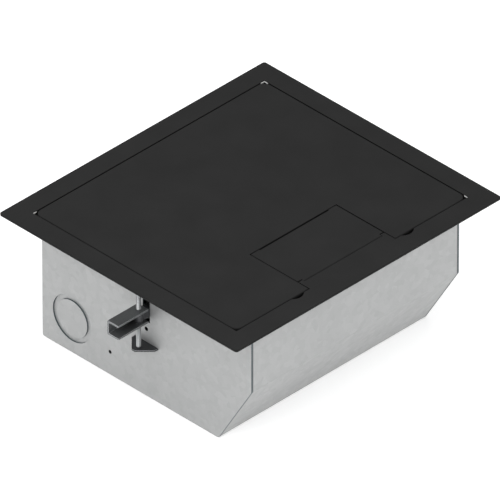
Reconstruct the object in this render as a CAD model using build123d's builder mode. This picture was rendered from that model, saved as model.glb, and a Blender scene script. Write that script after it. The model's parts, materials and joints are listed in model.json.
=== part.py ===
from build123d import *
import os

os.makedirs("parts", exist_ok=True)

# Whole box in millimetres: X along the hinge, -Y to the cable flap, Z up from the base
total_height = 129.3
frame_length = 303.0
frame_width = 271.2
frame_thickness = 2.0
frame_corner = 2.5
border = 19.2
opening_corner = 0.8
skirt_wall = 1.5
well_depth = 14.5
edge_round = 0.4
skirt_fit = 0.1

# Galvanised box
box_inset = 13.6
sheet = 1.6
bend_radius = 2.0
front_drop = 66.3
slope_run = 37.5
end_ledge = 14.0
weld_tab = 12.0
weld_tab_length = 30.0
seam_gap = 0.6

# Lid
lid_thickness = 3.0
lid_corner = 7.0
lid_round = 0.9
lid_gap = 0.9
pan_sheet = 1.2
pan_inset = 10.6
bumper_height = 1.0
bumper_width = 4.0
bumper_length = 20.0
hinge_setback = 8.5
hinge_drop = 4.0
hinge_pin_radius = 1.25
lug_radius = 3.5
lug_width = 6.0
lug_inset = 1.2
pin_fit = 0.05
boss_radius = 2.6
boss_length = 2.5
pan_hinge_gap = 4.0
pan_gap = 2.0
bumper_spread = 150.0
bumper_front_x = 88.0
key_length = 4.2
key_sheet = 0.4
key_height = 0.8
key_drop = 0.6

# Lift notches in the front edge of the opening
notch_spread = 125.4
notch_length = 14.0
notch_reach = 3.0
notch_depth = 7.0

# Cable flap and the casting that carries it
flap_length = 97.6
strip_setback = 10.55
flap_reach = 57.1
hinge_slit = 0.4
flap_round = 0.6
finger_length = 78.8
finger_reach = 1.0
flap_pin_radius = 0.8
flap_pin_length = 8.5
ear_width = 4.2
ear_gap = 0.2
rim_width = 5.8
rim_overhang = 5.2
rim_thickness = 2.5
rim_wall = 2.5
rim_corner = 3.0
flap_bumper_height = 0.8
strip_wall = 2.5
strip_boss = 9.0
strip_screw_spread = 31.0
pocket_pitch = 15.5
carrier_thread = 7.5
ear_room = 0.3
flap_bumper_length = 10.0
flap_bumper_setbacks = (15.7, 43.7)

# Swing-out clamps
rod_radius = 2.05
rod_offset = 8.8
rod_fit = 0.05
arm_drop = 38.4
arm_height = 13.8
arm_width = 12.8
arm_sheet = 1.6
arm_bend = 1.1
arm_reach = 29.3
arm_tail = 4.7
arm_hole_fit = 0.1
clamp_up = 20.0
clamp_down = 6.0
nut_radius = 4.4
nut_gap = 0.15
tongue_width = 7.4
tongue_height = 8.0
tongue_reach = 1.5
slot_gap = 0.3
tab_drop = 75.9
tab_width = 26.6
tab_straight = 3.6
tab_reach = 15.2
tab_tip = 3.4
tip_round = 1.4
leg_height = 18.4
rivet_rise = 12.9
rivet_radius = 2.0
rivet_bore = 1.6
journal_radius = 1.5
clip_radius = 3.6
clip_thickness = 0.8
clip_play = 0.1
journal_end = 0.6
clamp_head = 4.0
clamp_head_height = 3.0
tab_slot_gap = 0.2
rivet_flange = 0.8
rivet_rim = 1.3

# Conduit knockouts in the wiring compartment
knockout_back = 34.2
knockout_rise = 33.4
knockout_outer = 44.0
knockout_inner = 34.8
knockout_sink = 1.4

# Panel that carries the sockets
panel_front = 34.0
cover_room = 12.7
panel_flange = 12.0
end_flange = 15.0
panel_gap = 0.3
panel_rivet_y = 41.7
panel_rivet_rise = 22.4
panel_rivet_drop = 33.4
panel_rivet_radius = 1.7
panel_rivet_bore = 1.3
cover_sheet = 1.2
cover_screw_x = 80.0
rail_width = 14.0
rail_inset = 17.3
divider_flange = 14.0
divider_screw_x = 8.4
divider_setbacks = (18.0, 58.0)
earth_x = -60.0
earth_y = 90.0
stud_foot = 5.5
stud_foot_height = 1.0
stud_radius = 2.4
stud_length = 15.0

# Sockets: two rows, power on the left and data on the right
row_gap = 2.0
column_shift = 1.5
strap_inset = 3.0
strap_width = 19.0
strap_thickness = 1.4
strap_border = 3.4
strap_rim = 2.55
device_screw_inset = 6.75
plate_screw_inset = 7.6
plate_gap = 2.0
plate_margin = 2.2
plate_depth = 6.0
plate_wall = 2.2
plate_edge = 1.0
plate_corner = 3.0
face_inset = 8.55
face_width = 32.9
face_gap = 0.3
face_proud = 0.8
face_corner = 1.5
face_edge = 0.6
body_depth = 26.0
outlet_shift = 0.45
blade_pitch = 12.7
blade_length = 7.9
blade_width = 2.0
ground_radius = 2.5
blade_shift = 3.0
ground_shift = 9.0
channel_inset = 6.1
channel_height = 9.0
channel_depth = 18.0
contact_sheet = 0.7
contact_width = 4.6
contact_depth = 14.0
contact_end_gap = 1.0
terminal_pitch = 26.0
terminal_y = 45.0
terminal_depth = 7.8
opening_fit = 0.8
plate_rim = 2.0
sink_depth = 1.7
jack_pitch = 30.0
jack_width = 14.5
jack_height = 16.2
jack_depth = 26.0
jack_lip = 1.6
jack_shoulder = 1.5
socket_width = 11.7
socket_height = 6.8
socket_depth = 13.0
socket_rise = 0.8
socket_key = 6.0
socket_key_height = 1.6
wire_pitch = 1.1
wire_count = 8
wire_width = 0.4
wire_height = 0.6
wire_length = 9.0

# Fasteners
screw_radius = 2.0
screw_head = 3.9
head_height = 2.4
screw_clearance = 0.2
small_screw = 1.7
small_head = 3.2
small_head_height = 2.1
slot_width = 0.9
nut_across = 8.5
nut_height = 3.2
foot_size = 11.0
foot_thickness = 2.0
foot_spread = 112.0
thread_spare = 1.0

# Levels and faces that the pieces share
ledge_top = total_height - well_depth
ledge_under = ledge_top - sheet
lid_under = total_height - lid_thickness
opening_x = frame_length / 2 - border
opening_y = frame_width / 2 - border
skirt_x = opening_x + skirt_wall
skirt_y = opening_y + skirt_wall
outer_x = opening_x - box_inset
inner_x = outer_x - sheet
outer_y = skirt_y + sheet + skirt_fit
inner_y = outer_y - sheet
slope_top = total_height - front_drop
slope_foot = -outer_y + slope_run
lid_x = opening_x - lid_gap
lid_y = opening_y - lid_gap
pan_under = ledge_top + bumper_height
hinge_y = lid_y - hinge_setback
hinge_z = total_height - hinge_drop
rod_x = -outer_x - rod_offset
arm_top = total_height - arm_drop
arm_middle = arm_top - arm_height / 2
tab_top = total_height - tab_drop
flap_x = flap_length / 2
flap_front = opening_y - strip_setback
flap_back = flap_front - flap_reach
flap_axis_y = -flap_front + hinge_slit / 2 + lid_thickness / 2
flap_axis_z = total_height - lid_thickness / 2
rim_top = lid_under - flap_bumper_height
strip_back = -flap_front - hinge_slit / 2
strip_front = -opening_y
strip_middle = (strip_back + strip_front) / 2
panel_top = ledge_under - cover_room
row_middle = (sheet + panel_top) / 2
plate_height = panel_top - sheet - 2 * plate_margin
row_pitch = (plate_height - row_gap) / 2
rows = (row_middle - row_pitch / 2, row_middle + row_pitch / 2)
panel_x = inner_x - panel_gap
column_offset = panel_x / 2 - column_shift
plate_length = 2 * column_offset - plate_gap
plate_spread = plate_length - 2 * plate_screw_inset
device_spread = plate_spread - 2 * device_screw_inset
face_length = device_spread - 2 * face_inset
outlet_pitch = face_length / 2 + 2 * outlet_shift
channel_length = face_length - 2 * channel_inset
strap_front = panel_front - strap_thickness
plate_front = panel_front - plate_depth
plate_back = plate_front + plate_wall
face_front = plate_front - face_proud
panel_back = panel_front + sheet
sides = (-1, 1)

low = (Align.CENTER, Align.CENTER, Align.MIN)
high = (Align.CENTER, Align.CENTER, Align.MAX)
front_low = (Align.CENTER, Align.MIN, Align.MIN)
front_high = (Align.CENTER, Align.MIN, Align.MAX)
back_high = (Align.CENTER, Align.MAX, Align.MAX)
back_edge = (Align.CENTER, Align.MAX)
side_low = (Align.CENTER, Align.MIN)


def save(piece, name):
    piece.label = name
    export_step(piece, f"parts/{name}.step")


def at_y(y):
    # A plane across the box that faces the front, with X and Z as its own axes
    return Plane.XZ.offset(-y)


def pan_screws(seat, spots, head, height, shank, length):
    # Heads stand on the seat plane with a crossed slot, and shanks run down from it
    with BuildPart(seat) as screws:
        with Locations(*spots):
            Cylinder(head, height, align=low)
            Cylinder(shank, length, align=high)
        with Locations(*[(x, y, height) for x, y in spots]):
            Box(head + slot_width, slot_width, height, mode=Mode.SUBTRACT)
            Box(slot_width, head + slot_width, height, mode=Mode.SUBTRACT)
    return screws.part


def corners(x, y):
    return [(sx * x, sy * y) for sx in sides for sy in sides]


# Trim frame: flange plate, skirt round the lid well, feet and hinge bosses
notch_radius = (notch_length**2 / 4 + notch_reach**2) / (2 * notch_reach)
notch_y = -opening_y - notch_reach + notch_radius
foot_x = opening_x + skirt_wall / 2 - foot_size / 2
foot_screw_x = opening_x - foot_size / 2
foot_spots = corners(foot_screw_x, foot_spread / 2)
with BuildPart() as trim_frame:
    with BuildSketch(Plane.XY.offset(total_height - frame_thickness)):
        RectangleRounded(frame_length, frame_width, frame_corner)
    extrude(amount=frame_thickness)
    fillet(trim_frame.edges().group_by(Axis.Z)[-1], edge_round)
    with BuildSketch(Plane.XY.offset(ledge_top)):
        RectangleRounded(2 * skirt_x, 2 * skirt_y, opening_corner + skirt_wall)
    extrude(amount=well_depth - frame_thickness)
    with BuildSketch(Plane.XY.offset(ledge_top)):
        RectangleRounded(2 * opening_x, 2 * opening_y, opening_corner)
    extrude(amount=well_depth, mode=Mode.SUBTRACT)
    # Crescent lift notches, each a pocket with a wall and a floor of its own
    for wall, mode in ((skirt_wall, Mode.ADD), (0, Mode.SUBTRACT)):
        with BuildSketch(Plane.XY.offset(total_height)):
            with Locations(*[(s * notch_spread / 2, notch_y) for s in sides]):
                Circle(notch_radius + wall)
            with Locations((0, -opening_y)):
                Rectangle(frame_length, 3 * notch_radius, align=side_low, mode=Mode.SUBTRACT)
        extrude(amount=-notch_depth - wall, mode=mode)
    # Feet that are screwed down to the side ledges
    with Locations(*[(x, y, ledge_top) for x, y in corners(foot_x, foot_spread / 2)]):
        Box(foot_size, foot_size, foot_thickness, align=low)
    with Locations(*[(x, y, ledge_top) for x, y in foot_spots]):
        Cylinder(screw_radius + screw_clearance, foot_thickness, align=low, mode=Mode.SUBTRACT)
    # Bosses outside the skirt for the lid's hinge pins
    for side in sides:
        with BuildSketch(Plane.YZ.offset(side * opening_x)):
            with Locations((hinge_y, hinge_z)):
                Circle(boss_radius)
                Rectangle(2 * boss_radius, hinge_drop - frame_thickness, align=side_low)
        extrude(amount=side * boss_length)
        with BuildSketch(Plane.YZ.offset(side * opening_x)):
            with Locations((hinge_y, hinge_z)):
                Circle(hinge_pin_radius)
        extrude(amount=side * boss_length, mode=Mode.SUBTRACT)
save(trim_frame.part, "trim_frame")

save(
    pan_screws(
        Plane.XY.offset(ledge_top + foot_thickness),
        foot_spots,
        screw_head,
        head_height,
        screw_radius,
        foot_thickness + sheet + nut_height,
    ),
    "frame_screws",
)

with BuildPart() as frame_nuts:
    with BuildSketch(Plane.XY.offset(ledge_under)):
        with Locations(*foot_spots):
            RegularPolygon(nut_across / 2, 6, major_radius=False)
            Circle(screw_radius, mode=Mode.SUBTRACT)
    extrude(amount=-nut_height)
save(frame_nuts.part, "frame_nuts")

# White corner clips under the top edge of the opening, seen outside the lid's rounded corners
with BuildPart() as corner_keys:
    with BuildSketch(Plane.XY.offset(total_height - key_drop)):
        RectangleRounded(2 * opening_x, 2 * opening_y, opening_corner)
        Rectangle(2 * (opening_x - key_sheet), 2 * (opening_y - key_sheet), mode=Mode.SUBTRACT)
        Rectangle(2 * (opening_x - key_length), 2 * opening_y, mode=Mode.SUBTRACT)
        Rectangle(2 * opening_x, 2 * (opening_y - key_length), mode=Mode.SUBTRACT)
    extrude(amount=-key_height)
save(corner_keys.part, "frame_corner_keys")

# Box: one folded strip for front, slope, bottom and back, between two side panels
with BuildSketch() as side_outline:
    with BuildLine():
        Polyline(
            (-outer_y, ledge_top),
            (-outer_y, slope_top),
            (slope_foot, 0),
            (outer_y, 0),
            (outer_y, ledge_top),
            close=True,
        )
    make_face()
    fillet(side_outline.vertices().group_by(Axis.Y)[0], bend_radius)
    fillet(side_outline.vertices().filter_by(lambda v: abs(v.Y - slope_top) < 0.01), bend_radius)
with BuildSketch() as inside_outline:
    add(side_outline.sketch)
    offset(amount=-sheet, mode=Mode.REPLACE)

tab_y = inner_y - weld_tab / 2
back_tab_z = (knockout_rise + knockout_outer / 2 + panel_top - rail_width) / 2
carrier_spots = [(s * strip_screw_spread / 2, strip_middle) for s in sides]
divider_spots = [(divider_screw_x, inner_y - setback) for setback in divider_setbacks]
with BuildPart() as box_wrap:
    with BuildSketch(Plane.YZ.offset(seam_gap - inner_x)):
        add(side_outline.sketch)
        add(inside_outline.sketch, mode=Mode.SUBTRACT)
        with Locations((0, ledge_top)):
            Rectangle(2 * (opening_y - end_ledge), 4 * sheet, mode=Mode.SUBTRACT)
    extrude(amount=2 * (inner_x - seam_gap))
    # Tabs folded inward where the strip is welded to the side panels
    for side in sides:
        with Locations((side * (inner_x - sheet / 2), tab_y, back_tab_z)):
            Box(sheet, weld_tab, weld_tab_length)
        with Locations((side * (inner_x - sheet / 2), -tab_y, (slope_top + ledge_under) / 2)):
            Box(sheet, weld_tab, ledge_under - slope_top - 2 * bend_radius)
        with Locations((side * (inner_x - sheet / 2), slope_foot / 2, sheet)):
            Box(sheet, weld_tab_length, weld_tab, align=low)
    with Locations(*[(x, y, ledge_top) for x, y in carrier_spots], *[(x, y, 0) for x, y in divider_spots]):
        Cylinder(small_screw, 2 * sheet, mode=Mode.SUBTRACT)
save(box_wrap.part, "box_wrap")

slot_low = arm_middle - tongue_height / 2 - clamp_down - slot_gap
slot_high = arm_middle + tongue_height / 2 + clamp_up + slot_gap
knockout_y = outer_y - knockout_back
panel_rivets = ((panel_rivet_y, panel_rivet_rise), (panel_rivet_y, total_height - panel_rivet_drop))
rivet_z = tab_top + rivet_rise
for side, name in ((-1, "left"), (1, "right")):
    with BuildPart() as side_panel:
        with BuildSketch(Plane.YZ.offset(side * inner_x)):
            add(side_outline.sketch)
        extrude(amount=side * sheet)
        with BuildSketch(Plane.XY.offset(ledge_top)):
            with Locations((side * (inner_x + skirt_x) / 2, 0)):
                Rectangle(skirt_x - inner_x, 2 * outer_y)
        extrude(amount=-sheet)
        # Concentric knockout, half sheared inward
        for start, mode in ((outer_x, Mode.SUBTRACT), (inner_x, Mode.ADD)):
            with BuildSketch(Plane.YZ.offset(side * start)):
                with Locations((knockout_y, knockout_rise)):
                    Circle(knockout_outer / 2)
                    Circle(knockout_inner / 2, mode=Mode.SUBTRACT)
            extrude(amount=-side * knockout_sink, mode=mode)
        # Guide slot for the clamp nut, slot for the clamp tab, and rivet holes
        with BuildSketch(Plane.YZ.offset(side * outer_x)):
            with Locations((0, (slot_low + slot_high) / 2)):
                Rectangle(tongue_width + 2 * slot_gap, slot_high - slot_low)
            with Locations((0, tab_top - sheet / 2)):
                Rectangle(tab_width + 2 * slot_gap, sheet + 2 * tab_slot_gap)
            with Locations((0, rivet_z)):
                Circle(rivet_radius)
            with Locations(*panel_rivets):
                Circle(panel_rivet_radius)
        extrude(amount=-side * sheet, mode=Mode.SUBTRACT)
        with Locations((-side * rod_x, 0, ledge_top)):
            Cylinder(rod_radius + screw_clearance, 2 * sheet, mode=Mode.SUBTRACT)
        with Locations(*[(x, y, ledge_top) for x, y in foot_spots if x * side > 0]):
            Cylinder(screw_radius + screw_clearance, 2 * sheet, mode=Mode.SUBTRACT)
    save(side_panel.part, f"{name}_side_panel")

# Lid: flat plate with a bay for the cable flap, hinge lugs below it and a stiffening pan
bay_x = flap_x + lid_gap
pin_start = lid_x - lug_inset - lug_width - hinge_pin_radius
bay_back = -flap_back + lid_gap / 2
with BuildPart() as lid_plate:
    with BuildSketch(Plane.XY.offset(lid_under)):
        RectangleRounded(2 * lid_x, 2 * lid_y, lid_corner)
    extrude(amount=lid_thickness)
    fillet(lid_plate.edges().group_by(Axis.Z)[-1], lid_round)
    with BuildSketch(Plane.XY.offset(lid_under)):
        with Locations((0, bay_back)):
            Rectangle(2 * bay_x, lid_y + bay_back, align=back_edge)
    extrude(amount=lid_thickness, mode=Mode.SUBTRACT)
    for side in sides:
        lug_end = lid_x - lug_inset
        with BuildSketch(Plane.YZ.offset(side * (lug_end - lug_width))):
            with Locations((hinge_y, hinge_z)):
                Circle(lug_radius)
        extrude(amount=side * lug_width)
        with BuildSketch(Plane.YZ.offset(side * (pin_start - pin_fit))):
            with Locations((hinge_y, hinge_z)):
                Circle(hinge_pin_radius + pin_fit)
        extrude(amount=side * (opening_x - pin_start), mode=Mode.SUBTRACT)
save(lid_plate.part, "lid_plate")

pan_x = lid_x - pan_inset
pan_front = lid_y - pan_inset
pan_back = hinge_y - lug_radius - pan_hinge_gap
pan_bay_x = flap_x + rim_overhang + pan_gap
pan_bay_back = -flap_back + rim_width + pan_gap
with BuildSketch() as pan_outline:
    with Locations((0, (pan_back - pan_front) / 2)):
        Rectangle(2 * pan_x, pan_back + pan_front)
    with Locations((0, pan_bay_back)):
        Rectangle(2 * pan_bay_x, pan_front + pan_bay_back, align=back_edge, mode=Mode.SUBTRACT)
    fillet(pan_outline.vertices(), bend_radius)
with BuildPart() as lid_pan:
    with BuildSketch(Plane.XY.offset(pan_under)):
        add(pan_outline.sketch)
    extrude(amount=lid_under - pan_under)
    with BuildSketch(Plane.XY.offset(pan_under)):
        add(pan_outline.sketch)
        offset(amount=-pan_sheet, mode=Mode.REPLACE)
    extrude(amount=lid_under - pan_under - pan_sheet, mode=Mode.SUBTRACT)
save(lid_pan.part, "lid_pan")

with BuildPart() as lid_hinge_pins:
    for side in sides:
        with BuildSketch(Plane.YZ.offset(side * pin_start)):
            with Locations((hinge_y, hinge_z)):
                Circle(hinge_pin_radius)
        extrude(amount=side * (opening_x + boss_length - pin_start))
save(lid_hinge_pins.part, "lid_hinge_pins")

bumper_x = inner_x + bumper_width / 2
bumper_y = opening_y - end_ledge + bumper_width / 2
bumper_spots = corners(bumper_x, bumper_spread / 2)
with BuildPart() as lid_bumpers:
    with BuildSketch(Plane.XY.offset(ledge_top)):
        with Locations(*bumper_spots):
            SlotOverall(bumper_length, bumper_width, rotation=90)
        with Locations(*[(s * bumper_front_x, -bumper_y) for s in sides]):
            SlotOverall(bumper_length, bumper_width)
    extrude(amount=bumper_height)
save(lid_bumpers.part, "lid_bumpers")

# Cable flap with a rounded hinge edge between two ears
barrel = lid_thickness / 2
knuckle_x = flap_x - ear_width - ear_gap
with BuildPart() as cable_flap:
    with BuildSketch(Plane.XY.offset(lid_under)):
        with Locations((0, (flap_axis_y - flap_back - lid_gap / 2) / 2)):
            Rectangle(2 * flap_x, -flap_back - lid_gap / 2 - flap_axis_y)
        with Locations((0, -flap_back - lid_gap / 2)):
            Rectangle(finger_length, 2 * finger_reach, mode=Mode.SUBTRACT)
    extrude(amount=lid_thickness)
    flap_tops = cable_flap.edges().group_by(Axis.Z)[-1].filter_by(Axis.Y)
    fillet(flap_tops.filter_by(lambda e: abs(e.center().X) > finger_length / 2 + flap_round), flap_round)
    with BuildSketch(Plane.YZ.offset(-flap_x)):
        with Locations((flap_axis_y, flap_axis_z)):
            Circle(barrel)
    extrude(amount=2 * flap_x)
    with Locations(*[(s * (knuckle_x + ear_width), flap_axis_y, flap_axis_z) for s in sides]):
        Box(2 * ear_width, 2 * (barrel + ear_room), 2 * lid_thickness, mode=Mode.SUBTRACT)
    with BuildSketch(Plane.YZ.offset(-flap_x)):
        with Locations((flap_axis_y, flap_axis_z)):
            Circle(flap_pin_radius + pin_fit)
    extrude(amount=2 * flap_x, mode=Mode.SUBTRACT)
save(cable_flap.part, "cable_flap")

rim_front = strip_middle
rim_back = -flap_back + rim_width
rim_x = flap_x + rim_overhang
rim_inner_x = flap_x - rim_width
rim_hole_front = flap_axis_y + rim_thickness
rim_hole_back = -flap_back - rim_width
with BuildPart() as flap_carrier:
    # Hollow strip that stands on the front ledge
    with Locations((0, strip_middle, ledge_top)):
        Box(2 * flap_x, strip_back - strip_front, well_depth, align=low)
    pocket_x = strip_screw_spread / 2 + pocket_pitch
    with Locations(*[(s * pocket_x, strip_middle, ledge_top) for s in sides]):
        Box(
            2 * (pocket_pitch - strip_boss / 2),
            strip_back - strip_front - 2 * strip_wall,
            rim_top - rim_thickness - ledge_top,
            align=low,
            mode=Mode.SUBTRACT,
        )
    # Rim below the edges of the flap
    with BuildSketch(Plane.XY.offset(rim_top - rim_thickness)):
        with Locations((0, (rim_front + rim_back) / 2)):
            Rectangle(2 * rim_x, rim_back - rim_front)
        with Locations((0, (rim_hole_front + rim_hole_back) / 2)):
            RectangleRounded(
                2 * rim_inner_x,
                rim_hole_back - rim_hole_front,
                rim_corner,
                mode=Mode.SUBTRACT,
            )
    extrude(amount=rim_thickness)
    # Side ribs that carry the rim from the ledge
    for side in sides:
        with BuildSketch(Plane.YZ.offset(side * (rim_x - rim_wall))):
            with BuildLine():
                Polyline(
                    (rim_front, ledge_top),
                    (-opening_y + end_ledge, ledge_top),
                    (rim_back, rim_top - 2 * rim_thickness),
                    (rim_back, rim_top - rim_thickness),
                    (rim_front, rim_top - rim_thickness),
                    close=True,
                )
            make_face()
        extrude(amount=side * rim_wall)
    # Ears that hold the flap's pins
    for side in sides:
        with BuildSketch(Plane.YZ.offset(side * flap_x)):
            with Locations((flap_axis_y, flap_axis_z)):
                Circle(barrel)
            with Locations(((flap_axis_y + strip_back) / 2, flap_axis_z)):
                Rectangle(flap_axis_y - strip_back, lid_thickness)
        extrude(amount=-side * ear_width)
        with BuildSketch(Plane.YZ.offset(side * flap_x)):
            with Locations((flap_axis_y, flap_axis_z)):
                Circle(flap_pin_radius)
        extrude(amount=-side * ear_width, mode=Mode.SUBTRACT)
    with Locations(*[(x, y, ledge_top) for x, y in carrier_spots]):
        Cylinder(small_screw, carrier_thread, align=low, mode=Mode.SUBTRACT)
save(flap_carrier.part, "flap_carrier")

with BuildPart() as flap_pins:
    for side in sides:
        with BuildSketch(Plane.YZ.offset(side * flap_x)):
            with Locations((flap_axis_y, flap_axis_z)):
                Circle(flap_pin_radius)
        extrude(amount=-side * flap_pin_length)
save(flap_pins.part, "flap_pins")

with BuildPart() as flap_bumpers:
    with BuildSketch(Plane.XY.offset(rim_top)):
        bumper_rows = [setback - flap_front for setback in flap_bumper_setbacks]
        with Locations(*[(s * (flap_x - rim_width / 2), y) for s in sides for y in bumper_rows]):
            SlotOverall(flap_bumper_length, bumper_width, rotation=90)
    extrude(amount=flap_bumper_height)
save(flap_bumpers.part, "flap_bumpers")

save(
    pan_screws(
        Plane(origin=(0, 0, ledge_under), x_dir=(1, 0, 0), z_dir=(0, 0, -1)),
        [(x, -y) for x, y in carrier_spots],
        small_head,
        small_head_height,
        small_screw,
        sheet + carrier_thread,
    ),
    "flap_carrier_screws",
)

# Swing-out clamp on the left; the right one is the same turned half round
tab_under = tab_top - sheet
with BuildPart() as clamp_screw:
    with Locations((rod_x, 0, ledge_top)):
        Cylinder(clamp_head, clamp_head_height, align=low)
        Cylinder(rod_radius, ledge_top - tab_top, align=high)
    with Locations((rod_x, 0, tab_top)):
        Cylinder(journal_radius, sheet + clip_play + clip_thickness + journal_end, align=high)
    fillet(clamp_screw.edges().group_by(Axis.Z)[-1], edge_round)
    with Locations((rod_x, 0, ledge_top + clamp_head_height)):
        Box(2 * clamp_head, slot_width, clamp_head_height, mode=Mode.SUBTRACT)
        Box(slot_width, clamp_head, clamp_head_height, mode=Mode.SUBTRACT)

with BuildPart() as clamp_clip:
    with BuildSketch(Plane.XY.offset(tab_under - clip_play)):
        with Locations((rod_x, 0)):
            Circle(clip_radius)
            Circle(journal_radius, mode=Mode.SUBTRACT)
    extrude(amount=-clip_thickness)

barrel_height = arm_height - 2 * arm_sheet - 2 * nut_gap
with BuildPart() as clamp_nut:
    with Locations((rod_x, 0, arm_middle)):
        Cylinder(nut_radius, barrel_height)
    with Locations((rod_x, 0, arm_middle)):
        Box(
            rod_offset + sheet + tongue_reach,
            tongue_width,
            tongue_height,
            align=(Align.MIN, Align.CENTER, Align.CENTER),
        )
    with Locations((rod_x, 0, arm_middle)):
        Cylinder(rod_radius + rod_fit, arm_height, mode=Mode.SUBTRACT)

with BuildPart() as clamp_arm:
    with BuildSketch(Plane.YZ.offset(rod_x - arm_reach)):
        with Locations((0, arm_middle)):
            Rectangle(arm_width, arm_height)
        with Locations((-arm_sheet, arm_middle)):
            Rectangle(arm_width, arm_height - 2 * arm_sheet, mode=Mode.SUBTRACT)
    extrude(amount=arm_reach + arm_tail)
    fillet(clamp_arm.edges().filter_by(Axis.X).group_by(Axis.Y)[-1], arm_bend)
    with Locations((rod_x, 0, arm_middle)):
        Cylinder(rod_radius + arm_hole_fit, 2 * arm_height, mode=Mode.SUBTRACT)

with BuildPart() as clamp_bracket:
    with BuildSketch(Plane.XY.offset(tab_top)):
        with BuildLine():
            Polyline(
                (-inner_x + sheet, tab_width / 2),
                (-outer_x - tab_straight, tab_width / 2),
                (-outer_x - tab_reach, tab_tip / 2),
                (-outer_x - tab_reach, -tab_tip / 2),
                (-outer_x - tab_straight, -tab_width / 2),
                (-inner_x + sheet, -tab_width / 2),
                close=True,
            )
        make_face()
    extrude(amount=-sheet)
    fillet(clamp_bracket.edges().filter_by(Axis.Z).group_by(Axis.X)[0], tip_round)
    with Locations((-inner_x + sheet / 2, 0, tab_under)):
        Box(sheet, tab_width, sheet + leg_height, align=low)
    with Locations((rod_x, 0, tab_top)):
        Cylinder(journal_radius + rod_fit, 3 * sheet, mode=Mode.SUBTRACT)
    with BuildSketch(Plane.YZ.offset(-inner_x)):
        with Locations((0, rivet_z)):
            Circle(rivet_radius)
    extrude(amount=sheet, mode=Mode.SUBTRACT)


def tube_rivets(spots, wall, radius, bore, grip):
    # Hollow rivets, flush outside the wall, with their flanges inside
    with BuildPart() as rivets:
        for start, reach, size in ((wall, grip, radius), (wall + grip, rivet_flange, radius + rivet_rim)):
            with BuildSketch(Plane.YZ.offset(start)):
                with Locations(*spots):
                    Circle(size)
                    Circle(bore, mode=Mode.SUBTRACT)
            extrude(amount=reach)
    return rivets.part


clamp_rivet = tube_rivets([(0, rivet_z)], -outer_x, rivet_radius, rivet_bore, 2 * sheet)
clamp_pieces = (
    (clamp_screw.part, "clamp_screw"),
    (clamp_clip.part, "clamp_clip"),
    (clamp_nut.part, "clamp_nut"),
    (clamp_arm.part, "clamp_arm"),
    (clamp_bracket.part, "clamp_bracket"),
    (clamp_rivet, "clamp_rivet"),
)
for piece, name in clamp_pieces:
    for side, turn in (("left", 0), ("right", 180)):
        save(piece.rotate(Axis.Z, turn), f"{side}_{name}")

# Panel that parts the wiring compartment from the plug compartment and carries the sockets
columns = (-column_offset, column_offset)
row_spots = [(x, z) for x in columns for z in rows]
device_spots = [(x + s * device_spread / 2, z) for x, z in row_spots for s in sides]
plate_spots = [(x + s * plate_spread / 2, z) for x, z in row_spots for s in sides]
power_rows = [(-column_offset, z) for z in rows]
with BuildPart() as device_panel:
    with Locations((0, panel_front, sheet)):
        Box(2 * panel_x, sheet, panel_top - sheet, align=front_low)
    with Locations((0, panel_front, panel_top)):
        Box(2 * panel_x, panel_flange, sheet, align=front_high)
    for side in sides:
        with Locations((side * (panel_x - sheet / 2), panel_front, sheet)):
            Box(sheet, end_flange, panel_top - sheet, align=front_low)
    with BuildSketch(at_y(panel_front)):
        with Locations(*row_spots):
            Rectangle(face_length + 2 * opening_fit, face_width + 2 * opening_fit)
        with Locations(*[p for p in plate_spots if p[0] < 0]):
            Circle(small_screw + screw_clearance)
        with Locations(*[p for p in device_spots if p[0] < 0], *[p for p in plate_spots if p[0] > 0]):
            Circle(small_screw)
    extrude(amount=-sheet, mode=Mode.SUBTRACT)
    with BuildSketch(Plane.YZ.offset(-panel_x)):
        with Locations(*panel_rivets):
            Circle(panel_rivet_radius)
    extrude(amount=2 * panel_x, mode=Mode.SUBTRACT)
    with Locations(*[(s * cover_screw_x, panel_front + panel_flange / 2, panel_top) for s in sides]):
        Cylinder(small_screw, 3 * sheet, mode=Mode.SUBTRACT)
save(device_panel.part, "device_panel")

with BuildPart() as device_panel_rivets:
    for turn in (0, 180):
        spots = [(y if turn == 0 else -y, z) for y, z in panel_rivets]
        grip = 2 * sheet + panel_gap
        rivets = tube_rivets(spots, -outer_x, panel_rivet_radius, panel_rivet_bore, grip)
        add(rivets.rotate(Axis.Z, turn))
save(device_panel_rivets.part, "device_panel_rivets")


def shell_plate(middle_x, holes, hole_length, hole_width):
    # Cover plate with a rim that stands on the panel, and countersunk screw holes
    with BuildPart() as plate:
        with BuildSketch(at_y(plate_front)):
            with Locations((middle_x, row_middle)):
                RectangleRounded(plate_length, plate_height, plate_corner)
        extrude(amount=-plate_depth)
        fillet(plate.edges().group_by(Axis.Y)[0], plate_edge)
        with BuildSketch(at_y(plate_back)):
            with Locations((middle_x, row_middle)):
                Rectangle(plate_length - 2 * plate_rim, plate_height - 2 * plate_rim)
        extrude(amount=-plate_depth, mode=Mode.SUBTRACT)
        with BuildSketch(at_y(plate_front)):
            with Locations(*holes):
                Rectangle(hole_length, hole_width)
        extrude(amount=-plate_wall, mode=Mode.SUBTRACT)
        spots = [p for p in plate_spots if p[0] * middle_x > 0]
        with BuildPart(at_y(plate_front), mode=Mode.PRIVATE) as cutters:
            with Locations(*spots):
                Cone(small_screw, small_head, sink_depth, align=high)
                Cylinder(small_screw + screw_clearance, plate_depth, align=high)
        add(cutters.part, mode=Mode.SUBTRACT)
    return plate.part


def flat_screws(middle_x, length):
    with BuildPart(at_y(plate_front)) as screws:
        spots = [p for p in plate_spots if p[0] * middle_x > 0]
        with Locations(*spots):
            Cone(small_screw, small_head, sink_depth, align=high)
            Cylinder(small_screw, length, align=high)
        with Locations(*spots):
            Box(2 * small_head, slot_width, slot_width, mode=Mode.SUBTRACT)
    return screws.part


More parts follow.
